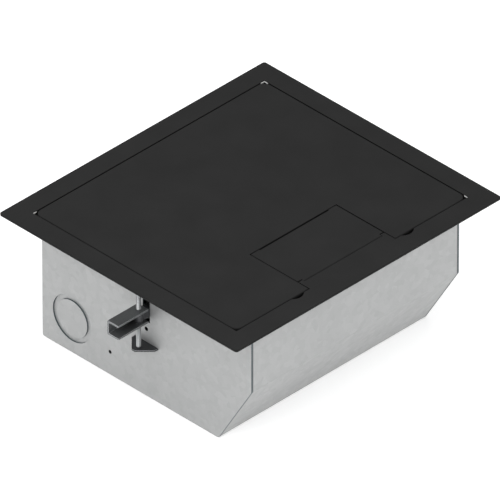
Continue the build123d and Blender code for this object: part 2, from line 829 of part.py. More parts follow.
# Duplex receptacles in the left column
power_x = -column_offset
terminal_x = [power_x + s * terminal_pitch / 2 for s in sides]
face_hole = (face_length + 2 * face_gap, face_width + 2 * face_gap)
save(shell_plate(power_x, power_rows, *face_hole), "power_plate")
plate_screw_length = panel_back - plate_front
save(flat_screws(power_x, plate_screw_length), "power_plate_screws")
for name, z in (("lower", rows[0]), ("upper", rows[1])):
    outlets = [(power_x + s * outlet_pitch / 2, z) for s in sides]
    channel_z = [z + s * blade_pitch / 2 for s in sides]
    with BuildPart() as strap:
        with BuildSketch(at_y(strap_front)):
            with Locations((power_x, z)):
                RectangleRounded(plate_length - 2 * strap_inset, strap_width, plate_corner)
                Rectangle(face_length + 2 * strap_border, face_width + 2 * strap_rim)
                Rectangle(*face_hole, mode=Mode.SUBTRACT)
            with Locations(*[(power_x + s * device_spread / 2, z) for s in sides]):
                Circle(small_screw + screw_clearance, mode=Mode.SUBTRACT)
            with Locations(*[(power_x + s * plate_spread / 2, z) for s in sides]):
                Circle(small_screw, mode=Mode.SUBTRACT)
        extrude(amount=-strap_thickness)
    save(strap.part, f"{name}_receptacle_strap")
    with BuildPart() as face:
        with BuildSketch(at_y(face_front)):
            with Locations((power_x, z)):
                RectangleRounded(face_length, face_width, face_corner)
        extrude(amount=-(panel_front - face_front))
        fillet(face.edges().group_by(Axis.Y)[0], face_edge)
        with BuildSketch(at_y(face_front)):
            with Locations(*[(x - blade_shift, c) for x, z in outlets for c in channel_z]):
                Rectangle(blade_length, blade_width)
            with Locations(*[(x + ground_shift, z) for x, z in outlets]):
                Circle(ground_radius)
        extrude(amount=-(panel_front - face_front), mode=Mode.SUBTRACT)
    save(face.part, f"{name}_receptacle_face")
    with BuildPart() as body:
        with BuildSketch(at_y(panel_front)):
            with Locations((power_x, z)):
                RectangleRounded(face_length, face_width, face_corner)
        extrude(amount=-body_depth)
        with BuildSketch(at_y(panel_front)):
            with Locations(*[(power_x, c) for c in channel_z]):
                Rectangle(channel_length, channel_height)
            with Locations(*[(x + ground_shift, z) for x, z in outlets]):
                Circle(ground_radius)
        extrude(amount=-channel_depth, mode=Mode.SUBTRACT)
        edges = [z + s * face_width / 2 for s in sides]
        with Locations(*[(x, terminal_y, edge) for x in terminal_x for edge in edges]):
            Cylinder(small_screw, 2 * terminal_depth, mode=Mode.SUBTRACT)
    save(body.part, f"{name}_receptacle_body")
    with BuildPart() as contacts:
        for c in channel_z:
            with BuildSketch(Plane.YZ.offset(power_x - channel_length / 2 + contact_end_gap)):
                with Locations((panel_front + channel_depth, c)):
                    Rectangle(contact_depth, contact_width, align=(Align.MAX, Align.CENTER))
                with Locations((panel_front + channel_depth - contact_sheet, c)):
                    Rectangle(
                        contact_depth,
                        contact_width - 2 * contact_sheet,
                        align=(Align.MAX, Align.CENTER),
                        mode=Mode.SUBTRACT,
                    )
            extrude(amount=channel_length - 2 * contact_end_gap)
    save(contacts.part, f"{name}_receptacle_contacts")

with BuildPart() as terminals:
    for side in sides:
        for z in rows:
            seat = Plane((0, 0, z + side * face_width / 2), x_dir=(1, 0, 0), z_dir=(0, 0, side))
            spots = [(x, side * terminal_y) for x in terminal_x]
            add(pan_screws(seat, spots, small_head, small_head_height, small_screw, terminal_depth))
save(terminals.part, "terminal_screws")

save(
    pan_screws(
        at_y(strap_front),
        [p for p in device_spots if p[0] < 0],
        small_head,
        small_head_height,
        small_screw,
        strap_thickness + sheet + thread_spare,
    ),
    "receptacle_screws",
)

# Data plate and its jacks in the right column
jack_spots = [(column_offset + s * jack_pitch / 2, z) for z in rows for s in sides]
jack_hole_height = jack_height + 2 * jack_lip
jack_hole = (jack_width + 2 * face_gap, jack_hole_height + 2 * face_gap)
save(shell_plate(column_offset, jack_spots, *jack_hole), "data_plate")
save(flat_screws(column_offset, plate_screw_length + thread_spare), "data_plate_screws")
for number, (x, z) in enumerate(jack_spots, start=1):
    with BuildPart() as jack:
        for start, depth, height in (
            (plate_front, plate_wall, jack_hole_height),
            (plate_back, jack_shoulder, jack_hole_height + 2 * jack_lip),
            (plate_back + jack_shoulder, jack_depth, jack_height),
        ):
            with BuildSketch(at_y(start)):
                with Locations((x, z)):
                    Rectangle(jack_width, height)
            extrude(amount=-depth)
        with BuildSketch(at_y(plate_front)):
            with Locations((x, z + socket_rise)):
                Rectangle(socket_width, socket_height)
            with Locations((x, z - socket_height / 2)):
                Rectangle(socket_key, 2 * socket_key_height)
        extrude(amount=-socket_depth, mode=Mode.SUBTRACT)
    save(jack.part, f"data_jack_{number}")

with BuildPart() as jack_contacts:
    for x, z in jack_spots:
        top_z = z + socket_rise + socket_height / 2
        with Locations((x, plate_front + socket_depth, top_z)):
            with GridLocations(wire_pitch, wire_pitch, wire_count, 1):
                Box(wire_width, wire_length, wire_height, align=back_high)
save(jack_contacts.part, "data_jack_contacts")

# Divider between power and data wiring, cover over the wiring and the rail at its back
divider_length = inner_y - panel_gap - panel_back
with BuildPart() as divider:
    with Locations((0, panel_back, sheet)):
        Box(cover_sheet, divider_length, panel_top - 2 * sheet, align=front_low)
    with Locations((-cover_sheet / 2, panel_back + sheet, sheet)):
        Box(divider_flange, divider_length - sheet, cover_sheet, align=Align.MIN)
    with Locations(*[(x, y, sheet) for x, y in divider_spots]):
        Cylinder(small_screw, 2 * divider_flange, mode=Mode.SUBTRACT)
save(divider.part, "voltage_divider")
divider_seat = Plane.XY.offset(sheet + cover_sheet)
divider_grip = cover_sheet + sheet - screw_clearance
save(
    pan_screws(divider_seat, divider_spots, small_head, small_head_height, small_screw, divider_grip),
    "divider_screws",
)

with BuildPart() as cover_rail:
    with Locations((0, inner_y, panel_top)):
        Box(2 * (inner_x - rail_inset), rail_width, sheet, align=back_high)
        Box(2 * (inner_x - rail_inset), sheet, rail_width, align=back_high)
    with Locations((0, inner_y, panel_top - sheet)):
        Box(cover_sheet + 2 * panel_gap, rail_width, rail_width, align=back_high, mode=Mode.SUBTRACT)
save(cover_rail.part, "cover_rail")

with BuildPart() as wiring_cover:
    with BuildSketch(Plane.XY.offset(panel_top)):
        with Locations((0, (panel_front + inner_y) / 2)):
            RectangleRounded(2 * panel_x, inner_y - panel_front - panel_gap, bend_radius)
        with Locations(*[(s * cover_screw_x, panel_front + panel_flange / 2) for s in sides]):
            Circle(small_screw + screw_clearance, mode=Mode.SUBTRACT)
    extrude(amount=cover_sheet)
save(wiring_cover.part, "wiring_cover")
save(
    pan_screws(
        Plane.XY.offset(panel_top + cover_sheet),
        [(s * cover_screw_x, panel_front + panel_flange / 2) for s in sides],
        small_head,
        small_head_height,
        small_screw,
        cover_sheet + 2 * sheet,
    ),
    "wiring_cover_screws",
)

# Earth stud on the floor of the power wiring side
with BuildPart(Plane.XY.offset(sheet)) as earth_stud:
    with Locations((earth_x, earth_y)):
        Cylinder(stud_foot, stud_foot_height, align=low)
        Cylinder(stud_radius, stud_length, align=low)
save(earth_stud.part, "earth_stud")
with BuildPart() as earth_washer:
    with BuildSketch(Plane.XY.offset(sheet + stud_foot_height)):
        with Locations((earth_x, earth_y)):
            Circle(stud_foot)
            Circle(stud_radius, mode=Mode.SUBTRACT)
    extrude(amount=cover_sheet)
save(earth_washer.part, "earth_washer")
with BuildPart() as earth_nut:
    with BuildSketch(Plane.XY.offset(sheet + stud_foot_height + cover_sheet)):
        with Locations((earth_x, earth_y)):
            RegularPolygon(nut_across / 2, 6, major_radius=False)
            Circle(stud_radius, mode=Mode.SUBTRACT)
    extrude(amount=nut_height)
save(earth_nut.part, "earth_nut")
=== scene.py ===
import json
import math

import bmesh
import bpy
from mathutils import Matrix, Vector


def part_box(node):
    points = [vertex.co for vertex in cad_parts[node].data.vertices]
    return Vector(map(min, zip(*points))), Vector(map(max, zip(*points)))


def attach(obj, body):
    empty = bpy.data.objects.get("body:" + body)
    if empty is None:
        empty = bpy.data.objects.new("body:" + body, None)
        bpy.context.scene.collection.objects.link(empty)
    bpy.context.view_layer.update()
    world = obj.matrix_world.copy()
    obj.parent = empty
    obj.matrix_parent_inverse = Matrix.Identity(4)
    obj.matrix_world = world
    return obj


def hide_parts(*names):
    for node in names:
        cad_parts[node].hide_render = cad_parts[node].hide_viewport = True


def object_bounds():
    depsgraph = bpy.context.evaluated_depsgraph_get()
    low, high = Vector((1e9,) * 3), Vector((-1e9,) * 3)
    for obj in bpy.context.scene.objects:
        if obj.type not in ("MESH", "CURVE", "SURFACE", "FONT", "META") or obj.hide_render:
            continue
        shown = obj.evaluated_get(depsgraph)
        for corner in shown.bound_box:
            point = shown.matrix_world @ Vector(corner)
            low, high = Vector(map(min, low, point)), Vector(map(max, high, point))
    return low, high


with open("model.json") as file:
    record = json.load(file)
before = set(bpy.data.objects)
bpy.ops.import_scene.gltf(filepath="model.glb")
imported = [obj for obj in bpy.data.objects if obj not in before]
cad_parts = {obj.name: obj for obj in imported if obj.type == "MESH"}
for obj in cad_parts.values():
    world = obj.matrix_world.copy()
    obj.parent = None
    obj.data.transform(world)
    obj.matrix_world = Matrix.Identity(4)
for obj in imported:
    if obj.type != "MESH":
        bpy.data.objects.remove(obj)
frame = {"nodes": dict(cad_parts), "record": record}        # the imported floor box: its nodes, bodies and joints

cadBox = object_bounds()     # lowest and highest corners of the whole box before anything is added
nodes = frame["nodes"]
tiny = 1e-6              # metres: places closer than this count as the same
print("frame loaded:", len(nodes), "nodes")


# Camera: a corner view from 35 degrees above, through a lens so long that it looks parallel
camera = {
    "azimuth": -45.0,               # degrees round the box from its front
    "elevation": 35.264,
    "metresPerPixel": 0.8072e-3,
    "picture": 500,                 # pixels across
    "coverCentre": (250.5, 204.9),  # where the middle of the cover lies in the picture
    "lens": 1700.0,                 # mm
    "sensor": 36.0,                 # mm
    "seesTo": 2,                    # times the distance to the box
}


def viewDirection(azimuth, elevation):
    a, e = math.radians(azimuth), math.radians(elevation)
    return Vector((math.sin(a) * math.cos(e), -math.cos(a) * math.cos(e), math.sin(e)))


def addCamera(c):
    back = viewDirection(c["azimuth"], c["elevation"])
    turn = back.to_track_quat("Z", "Y")
    right, up = turn @ Vector((1, 0, 0)), turn @ Vector((0, 1, 0))
    coverTop = Vector((0, 0, cadBox[1].z))
    middle = c["picture"] / 2
    across = (middle - c["coverCentre"][0]) * c["metresPerPixel"]
    down = (middle - c["coverCentre"][1]) * c["metresPerPixel"]
    aim = coverTop + right * across - up * down
    distance = c["picture"] * c["metresPerPixel"] * c["lens"] / c["sensor"]
    data = bpy.data.cameras.new("camera")
    data.lens = c["lens"]
    data.sensor_width = c["sensor"]
    data.clip_end = c["seesTo"] * distance
    made = bpy.data.objects.new("camera", data)
    bpy.context.scene.collection.objects.link(made)
    made.rotation_mode = "QUATERNION"
    made.rotation_quaternion = turn
    made.location = aim + back * distance
    bpy.context.scene.camera = made


addCamera(camera)
print("camera set")


# Small helpers for materials; the Mix node's sockets share their names, so they go by number
mixShare, numberA, numberB, colourA, colourB, mixedNumber, mixedColour = 0, 2, 3, 6, 7, 0, 2


def hexColour(text):
    # sRGB hex to the linear values that the shaders take
    parts = [int(text[i:i + 2], 16) / 255 for i in (1, 3, 5)]
    linear = [p / 12.92 if p <= 0.04045 else ((p + 0.055) / 1.055) ** 2.4 for p in parts]
    return (*linear, 1.0)


def addNode(tree, kind, settings=None, links=None):
    # settings name a node's own options or its input sockets; links feed its inputs
    node = tree.nodes.new(kind)
    for key, value in (settings or {}).items():
        if isinstance(key, str) and hasattr(node, key):
            setattr(node, key, value)
        else:
            node.inputs[key].default_value = value
    for key, source in (links or {}).items():
        tree.links.new(source, node.inputs[key])
    return node


def perMillimetre(size):
    # texture scale for a pattern whose repeat is this many millimetres
    return 1000.0 / size


def newMaterial(name):
    made = bpy.data.materials.new(name)
    made.use_nodes = True
    made.node_tree.nodes.clear()
    return made, made.node_tree


def darkToPale(tree, v, pattern):
    # the dark colour where the pattern is under its lower level, the pale one over the upper level
    low, high = v["levels"]
    share = addNode(
        tree,
        "ShaderNodeMapRange",
        {"From Min": low, "From Max": high},
        {"Value": pattern},
    )
    blend = addNode(
        tree,
        "ShaderNodeMix",
        {"data_type": "RGBA", colourA: hexColour(v["dark"]), colourB: hexColour(v["pale"])},
        {mixShare: share.outputs[0]},
    )
    return blend.outputs[mixedColour]


def finishMaterial(tree, v, settings, links, height, rounded):
    # edges rounded by the shading, the fine relief of the pattern on top, and the shader itself
    raised = addNode(
        tree,
        "ShaderNodeBump",
        {"Strength": v["bump"], "Distance": v["relief"] / 1000},
        {"Height": height, "Normal": rounded},
    )
    links = links | {"Normal": raised.outputs[0]}
    shader = addNode(tree, "ShaderNodeBsdfPrincipled", settings, links)
    addNode(tree, "ShaderNodeOutputMaterial", links={"Surface": shader.outputs[0]})


# World and floor: white to the camera and in reflections, a plain soft light on everything else
studio = {
    "white": "#ffffff",
    "worldLight": 0.62,
    "worldSeen": 1.0,
    "floorColour": "#f6f6f6",
    "floorGlow": 0.36,       # added to the lit floor where the camera or a reflection sees it
    "floorSize": 8.0,        # metres
    "floorDrop": 0.0002,     # metres
}


def seenDirectly(tree):
    # 1 for what the camera sees, straight, in a reflection or through glass
    ray = addNode(tree, "ShaderNodeLightPath").outputs
    seen = ray["Is Camera Ray"]
    for other in ("Is Glossy Ray", "Is Transmission Ray"):
        either = addNode(tree, "ShaderNodeMath", {"operation": "MAXIMUM"}, {0: seen, 1: ray[other]})
        seen = either.outputs[0]
    return seen


def addWorld(s):
    world = bpy.data.worlds.new("studio")
    bpy.context.scene.world = world
    world.use_nodes = True
    tree = world.node_tree
    tree.nodes.clear()
    light, seen = [
        addNode(tree, "ShaderNodeBackground", {"Color": hexColour(s["white"]), "Strength": s[key]})
        for key in ("worldLight", "worldSeen")
    ]
    mix = addNode(
        tree,
        "ShaderNodeMixShader",
        links={0: seenDirectly(tree), 1: light.outputs[0], 2: seen.outputs[0]},
    )
    addNode(tree, "ShaderNodeOutputWorld", links={"Surface": mix.outputs[0]})


def addFloor(s):
    bpy.ops.mesh.primitive_plane_add(size=s["floorSize"], location=(0, 0, -s["floorDrop"]))
    floor = bpy.context.object
    floor.name = "floor"
    material, tree = newMaterial("white paper floor")
    paper = addNode(tree, "ShaderNodeBsdfDiffuse", {"Color": hexColour(s["floorColour"])})
    strength = addNode(
        tree,
        "ShaderNodeMath",
        {"operation": "MULTIPLY", 1: s["floorGlow"]},
        {0: seenDirectly(tree)},
    )
    glow = addNode(
        tree,
        "ShaderNodeEmission",
        {"Color": hexColour(s["white"])},
        {"Strength": strength.outputs[0]},
    )
    both = addNode(tree, "ShaderNodeAddShader", links={0: paper.outputs[0], 1: glow.outputs[0]})
    addNode(tree, "ShaderNodeOutputMaterial", links={"Surface": both.outputs[0]})
    floor.data.materials.append(material)


lamps = {  # degrees, metres and watts
    "key": {"azimuth": -80.0, "elevation": 48.0, "distance": 1.5, "size": 1.1, "watts": 9.0},
    "fill": {"azimuth": 15.0, "elevation": 35.0, "distance": 1.7, "size": 1.4, "watts": 8.0},
    "back": {"azimuth": 160.0, "elevation": 55.0, "distance": 1.7, "size": 1.2, "watts": 5.0},
}


def addLamps(wanted):
    for name, lamp in wanted.items():
        data = bpy.data.lights.new(name, "AREA")
        data.shape = "DISK"
        data.size = lamp["size"]
        data.energy = lamp["watts"]
        made = bpy.data.objects.new(name, data)
        bpy.context.scene.collection.objects.link(made)
        back = viewDirection(lamp["azimuth"], lamp["elevation"])
        made.location = back * lamp["distance"]
        made.rotation_mode = "QUATERNION"
        made.rotation_quaternion = back.to_track_quat("Z", "Y")


addWorld(studio)
addFloor(studio)
addLamps(lamps)
bpy.context.scene.view_settings.view_transform = "Standard"
print("world, floor and lamps set")


# Polyester powder coat on steel: satin black with a fine grain that scatters the light
powderCoat = {
    "dark": "#1c1c1c",
    "pale": "#202020",
    "levels": (0.3, 0.7),
    "roughness": 0.6,
    "specular": 0.08,       # low, because the grain breaks up the reflection
    "grain": 0.35,          # mm between the grains, drawn a little coarser than real
    "grainDetail": 2.0,
    "relief": 0.02,         # mm
    "bump": 0.35,
    "cloud": 30.0,          # mm between faint patches
    "cloudDetail": 3.0,
    "edge": 0.3,            # mm, the coat rounds every edge
    "edgeSamples": 4,
}


def makePowderCoat(name, v):
    material, tree = newMaterial(name)
    place = addNode(tree, "ShaderNodeTexCoord").outputs["Object"]
    cloud, grain = [
        addNode(
            tree,
            "ShaderNodeTexNoise",
            {"Scale": perMillimetre(v[key]), "Detail": v[key + "Detail"]},
            {"Vector": place},
        ).outputs["Fac"]
        for key in ("cloud", "grain")
    ]
    rounded = addNode(
        tree,
        "ShaderNodeBevel",
        {"samples": v["edgeSamples"], "Radius": v["edge"] / 1000},
    )
    settings = {"Roughness": v["roughness"], "Specular IOR Level": v["specular"]}
    colour = darkToPale(tree, v, cloud)
    finishMaterial(tree, v, settings, {"Base Color": colour}, grain, rounded.outputs[0])
    return material


# Hot-dip galvanised sheet: zinc crystals a few millimetres wide, each a little brighter or duller,
# and bare grey steel where the sheet was sheared
galvanised = {
    "dark": "#a5a6a6",
    "pale": "#aeafaf",
    "levels": (0.25, 0.75),
    "cutEdge": "#586164",
    "cutFacing": (0.35, 0.25),   # sheet facing less outwards than this is a cut edge
    "spangle": 5.0,              # mm across one crystal
    "warp": 10.0,                # mm between bends in the crystals' borders
    "warpDetail": 2.0,
    "warpReach": 0.004,          # metres
    "mottle": 1.3,               # mm between fine specks inside a crystal
    "mottleDetail": 3.0,
    "mottleShare": 0.45,
    "cloud": 60.0,               # mm between dull patches
    "cloudDetail": 4.0,
    "cloudShare": 0.4,
    "roughness": (0.44, 0.56),   # of the brightest and the dullest crystal
    "metallic": 0.5,             # the rest is the white film of oxide that dulls it
    "relief": 0.01,              # mm
    "bump": 0.09,
    "edge": 0.3,                 # mm
    "edgeSamples": 4,
    "ledge": 1.68,               # mm from the top, a little over the 1.6 mm sheet
}


def shearedEdges(tree, v, place, below):
    # 1 where a side panel's sheet shows its cut edge, which faces along the side and not outwards;
    # the ledge folded out at its top, above this height, is whole sheet
    geometry = addNode(tree, "ShaderNodeNewGeometry")
    facing = addNode(tree, "ShaderNodeSeparateXYZ", links={0: geometry.outputs["True Normal"]})
    outward = addNode(tree, "ShaderNodeMath", {"operation": "ABSOLUTE"}, {0: facing.outputs["X"]})
    cut = addNode(
        tree,
        "ShaderNodeMapRange",
        {"From Min": v["cutFacing"][0], "From Max": v["cutFacing"][1]},
        {"Value": outward.outputs[0]},
    )
    height = addNode(tree, "ShaderNodeSeparateXYZ", links={0: place})
    low = addNode(
        tree,
        "ShaderNodeMath",
        {"operation": "LESS_THAN", 1: below},
        {0: height.outputs["Z"]},
    )
    both = addNode(
        tree,
        "ShaderNodeMath",
        {"operation": "MULTIPLY"},
        {0: cut.outputs[0], 1: low.outputs[0]},
    )
    return both.outputs[0]


def makeGalvanised(name, v, shearedBelow=None):
    material, tree = newMaterial(name)
    place = addNode(tree, "ShaderNodeTexCoord").outputs["Object"]
    warp, speck, cloud = [
        addNode(
            tree,
            "ShaderNodeTexNoise",
            {"Scale": perMillimetre(v[key]), "Detail": v[key + "Detail"]},
            {"Vector": place},
        )
        for key in ("warp", "mottle", "cloud")
    ]
    shift = addNode(
        tree,
        "ShaderNodeVectorMath",
        {"operation": "MULTIPLY_ADD", 1: (v["warpReach"],) * 3},
        {0: warp.outputs["Color"], 2: place},
    )
    crystal = addNode(
        tree,
        "ShaderNodeTexVoronoi",
        {"Scale": perMillimetre(v["spangle"])},
        {"Vector": shift.outputs[0]},
    )
    tone = addNode(tree, "ShaderNodeSeparateColor", links={0: crystal.outputs["Color"]})
    specked = addNode(
        tree,
        "ShaderNodeMix",
        {"data_type": "FLOAT", mixShare: v["mottleShare"]},
        {numberA: tone.outputs["Red"], numberB: speck.outputs["Fac"]},
    ).outputs[mixedNumber]
    clouded = addNode(
        tree,
        "ShaderNodeMix",
        {"data_type": "FLOAT", mixShare: v["cloudShare"]},
        {numberA: specked, numberB: cloud.outputs["Fac"]},
    ).outputs[mixedNumber]
    colour = darkToPale(tree, v, clouded)
    if shearedBelow is not None:
        colour = addNode(
            tree,
            "ShaderNodeMix",
            {"data_type": "RGBA", colourB: hexColour(v["cutEdge"])},
            {mixShare: shearedEdges(tree, v, place, shearedBelow), colourA: colour},
        ).outputs[mixedColour]
    rough = addNode(
        tree,
        "ShaderNodeMapRange",
        {"To Min": v["roughness"][0], "To Max": v["roughness"][1]},
        {"Value": tone.outputs["Green"]},
    )
    rounded = addNode(
        tree,
        "ShaderNodeBevel",
        {"samples": v["edgeSamples"], "Radius": v["edge"] / 1000},
    )
    links = {"Base Color": colour, "Roughness": rough.outputs[0]}
    finishMaterial(tree, v, {"Metallic": v["metallic"]}, links, specked, rounded.outputs[0])
    return material


# Plain finishes share one recipe: a faint cloud of two colours and a fine grain in relief, whose
# sizes in mm are drawn coarser than real, so that they show
plain = {"levels": (0.3, 0.7), "grainDetail": 3.0, "bump": 0.3, "edge": 0.2, "edgeSamples": 4}


def startPlain(name, v):
    material, tree = newMaterial(name)
    place = addNode(tree, "ShaderNodeTexCoord").outputs["Object"]
    grain = addNode(
        tree,
        "ShaderNodeTexNoise",
        {"Scale": perMillimetre(v["grain"]), "Detail": v["grainDetail"]},
        {"Vector": place},
    )
    rounded = addNode(
        tree,
        "ShaderNodeBevel",
        {"samples": v["edgeSamples"], "Radius": v["edge"] / 1000},
    )
    fine = grain.outputs["Fac"]
    return material, tree, darkToPale(tree, v, fine), fine, rounded.outputs[0]


# Metals: the zinc plating is pale with a soft shine, the brass is yellow and brighter
metals = {
    "zinc plated steel": {
        "dark": "#b4b6b7",
        "pale": "#c8cacb",
        "roughness": (0.37, 0.5),
        "grain": 0.6,
        "relief": 0.006,
    },
    "brass": {
        "dark": "#b08d4f",
        "pale": "#cdaa66",
        "roughness": (0.23, 0.36),
        "grain": 0.5,
        "relief": 0.004,
    },
}


def makeMetal(name):
    v = plain | metals[name]
    material, tree, colour, grain, rounded = startPlain(name, v)
    rough = addNode(
        tree,
        "ShaderNodeMapRange",
        {"To Min": v["roughness"][0], "To Max": v["roughness"][1]},
        {"Value": grain},
    )
    links = {"Base Color": colour, "Roughness": rough.outputs[0]}
    finishMaterial(tree, v, {"Metallic": 1.0}, links, grain, rounded)
    return material


# Phosphated steel: dark grey crystals, with a painted highlight in a paler colour along the edges where the
# bevelled normal turns;
# the small rivets are coloured near black, so they read as dark dots
# the darker copy of this steel is painted shade, kept dark where the bracket and nuts stand in shadow; the arms
# are the same steel in a lighter copy
darkSteels = {
    # the third colour of each is a painted highlight along the edges
    "phosphated steel": {"dark": "#434446", "pale": "#4f5052", "rubbed": "#b8babc"},
    "thinly phosphated steel": {"dark": "#6d6f70", "pale": "#7c7e7f", "rubbed": "#d6d8da"},
    "oil blackened steel": {"dark": "#17191a", "pale": "#1e2021", "rubbed": "#2c2e30"},
}
phosphate = {
    "edge": 0.45,                # mm
    "edgeSamples": 6,
    "rubbedTurn": (0.985, 0.9),  # cosine of the turn where the painted edge highlight starts and is full
    "metallic": 0.75,            # the crystals themselves scatter light like a paint
    "roughness": 0.45,
    "grain": 0.5,
    "relief": 0.01,
}


def makeDarkSteel(name):
    v = plain | phosphate | darkSteels[name]
    material, tree, body, grain, rounded = startPlain(name, v)
    flat = addNode(tree, "ShaderNodeNewGeometry")
    turn = addNode(
        tree,
        "ShaderNodeVectorMath",
        {"operation": "DOT_PRODUCT"},
        {0: rounded, 1: flat.outputs["Normal"]},
    )
    # painted highlight: the paler colour where the shading's rounded normal turns from the flat one
    rubbed = addNode(
        tree,
        "ShaderNodeMapRange",
        {"From Min": v["rubbedTurn"][0], "From Max": v["rubbedTurn"][1]},
        {"Value": turn.outputs["Value"]},
    )
    colour = addNode(
        tree,
        "ShaderNodeMix",
        {"data_type": "RGBA", colourB: hexColour(v["rubbed"])},
        {mixShare: rubbed.outputs[0], colourA: body},
    ).outputs[mixedColour]
    settings = {"Metallic": v["metallic"], "Roughness": v["roughness"]}
    finishMaterial(tree, v, settings, {"Base Color": colour}, grain, rounded)
    return material


# Mouldings and rubber: nylon and phenolic are matt from the mould, the thermoplastic and the
# polycarbonate are smoother and catch a soft highlight, and rubber is dull and a little coarse
plastics = {
    "moulded nylon": {
        "dark": "#8f9290",
        "pale": "#979a98",
        "roughness": 0.5,
        "grain": 0.5,
        "relief": 0.008,
    },
    "moulded white nylon": {
        "dark": "#dcdcda",
        "pale": "#e4e4e2",
        "roughness": 0.5,
        "grain": 0.5,
        "relief": 0.008,
    },
    "smooth thermoplastic": {
        "dark": "#b3b4b0",
        "pale": "#babbb7",
        "roughness": 0.3,
        "grain": 1.5,
        "relief": 0.003,
    },
    "smooth polycarbonate": {
        "dark": "#dcdcd6",
        "pale": "#e2e2dd",
        "roughness": 0.28,
        "grain": 1.5,
        "relief": 0.003,
    },
    "phenolic moulding": {
        "dark": "#1b1b1c",
        "pale": "#222223",
        "roughness": 0.45,
        "grain": 0.8,
        "relief": 0.006,
    },
    "solid rubber": {
        "dark": "#161616",
        "pale": "#1e1e1e",
        "roughness": 0.8,
        "grain": 0.3,
        "relief": 0.02,
    },
}


def makePlastic(name):
    v = plain | plastics[name]
    material, tree, colour, grain, rounded = startPlain(name, v)
    settings = {"Roughness": v["roughness"]}
    finishMaterial(tree, v, settings, {"Base Color": colour}, grain, rounded)
    return material


finishes = {
    "black_powder_coat": makePowderCoat("black powder coat", powderCoat),
    "galvanised_steel": makeGalvanised("hot dip galvanised steel", galvanised),
    "zinc_plated_steel": makeMetal("zinc plated steel"),
    "dark_steel": makeDarkSteel("phosphated steel"),
    "brass": makeMetal("brass"),
    "grey_nylon": makePlastic("moulded nylon"),
    "grey_thermoplastic": makePlastic("smooth thermoplastic"),
    "black_phenolic": makePlastic("phenolic moulding"),
    "white_polycarbonate": makePlastic("smooth polycarbonate"),
    "white_nylon": makePlastic("moulded white nylon"),
    "black_rubber": makePlastic("solid rubber"),
}
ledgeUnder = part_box("left_side_panel")[1][2] - galvanised["ledge"] / 1000
sideFinish = makeGalvanised("galvanised steel with sheared edges", galvanised, ledgeUnder)
# lighter copy of the steel for the arms; the darker copy on the bracket and nuts is painted shade
armFinish = makeDarkSteel("thinly phosphated steel")
# the rivets are coloured near black, so that they read as dark dots
rivetFinish = makeDarkSteel("oil blackened steel")
ownFinish = {
    "left_side_panel": sideFinish,
    "right_side_panel": sideFinish,
    "left_clamp_arm": armFinish,
    "right_clamp_arm": armFinish,
    "left_clamp_rivet": rivetFinish,
    "right_clamp_rivet": rivetFinish,
    "device_panel_rivets": rivetFinish,
}
slotOf = {part["node"]: part["material_slot"] for part in frame["record"]["subparts"]}
for name, node in nodes.items():
    node.data.materials.clear()
    node.data.materials.append(ownFinish.get(name) or finishes[slotOf[name]])
print("materials on", len(nodes), "nodes")


# Modelling helpers: a piece is made round the origin, and its place goes into its mesh
smoothAngle = 35  # degrees: edges that turn less than this are shaded smooth


def metres(*sizes):
    return [size / 1000 for size in sizes]


def makeActive(piece):
    bpy.ops.object.select_all(action="DESELECT")
    piece.select_set(True)
    bpy.context.view_layer.objects.active = piece


def editMesh(piece):
    makeActive(piece)
    bpy.ops.object.mode_set(mode="EDIT")
    bpy.ops.mesh.select_all(action="DESELECT")


def selectWhere(piece, kind, test):
    # kind is VERT or EDGE; test gets each corner, or the middle of each edge
    bpy.ops.mesh.select_mode(type=kind)
    bpy.ops.object.mode_set(mode="OBJECT")
    mesh = piece.data
    for group in (mesh.vertices, mesh.edges, mesh.polygons):
        for item in group:
            item.select = False
    if kind == "VERT":
        for corner in mesh.vertices:
            corner.select = test(corner.co)
    else:
        for edge in mesh.edges:
            start, end = [mesh.vertices[i].co for i in edge.vertices]
            edge.select = test((start + end) / 2)
    bpy.ops.object.mode_set(mode="EDIT")


def leaveMesh():
    bpy.ops.mesh.select_all(action="SELECT")
    bpy.ops.mesh.remove_doubles(threshold=tiny)
    bpy.ops.mesh.normals_make_consistent(inside=False)
    bpy.ops.object.mode_set(mode="OBJECT")


def addCylinder(radius, bottom, top, sides):
    bpy.ops.mesh.primitive_cylinder_add(
        vertices=sides,
        radius=radius,
        depth=top - bottom,
        location=(0, 0, (top + bottom) / 2),
    )
    bpy.ops.object.transform_apply(location=True, rotation=False, scale=False)
    return bpy.context.object


def addBlock(size, middle):
    bpy.ops.mesh.primitive_cube_add(size=1, location=middle)
    block = bpy.context.object
    block.scale = size
    bpy.ops.object.transform_apply(location=True, rotation=False, scale=True)
    return block


def applyModifier(piece, modifier):
    makeActive(piece)
    bpy.ops.object.modifier_apply(modifier=modifier.name)


def cutWith(piece, cutter, operation="DIFFERENCE"):
    modifier = piece.modifiers.new("cut", "BOOLEAN")
    modifier.operation = operation
    modifier.object = cutter
    applyModifier(piece, modifier)
    bpy.data.objects.remove(cutter, do_unlink=True)


def joinPieces(pieces, name):
    makeActive(pieces[0])
    for piece in pieces:
        piece.select_set(True)
    if len(pieces) > 1:
        bpy.ops.object.join()
    pieces[0].name = name
    return pieces[0]


def pieceName(node, ending):
    first, *rest = node.split("_")
    return first + "".join(word.capitalize() for word in rest) + ending


def putInPlace(piece, body, slot, *replaced):
    makeActive(piece)
    bpy.ops.object.transform_apply(location=True, rotation=True, scale=True)
    bpy.ops.object.shade_smooth_by_angle(angle=math.radians(smoothAngle))
    piece.data.materials.clear()
    piece.data.materials.append(finishes[slot])
    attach(piece, body)
    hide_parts(*replaced)


def replaceWithCopies(master, matrices, node, slot):
    # one copy of the master for each solid of the node, each with its own mesh, joined at the end
    copies = []
    for matrix in matrices:
        made = master.copy()
        made.data = master.data.copy()
        made.data.transform(matrix)
        bpy.context.scene.collection.objects.link(made)
        copies.append(made)
    bpy.data.objects.remove(master, do_unlink=True)
    putInPlace(joinPieces(copies, pieceName(node, "Threaded")), "box", slot, node)


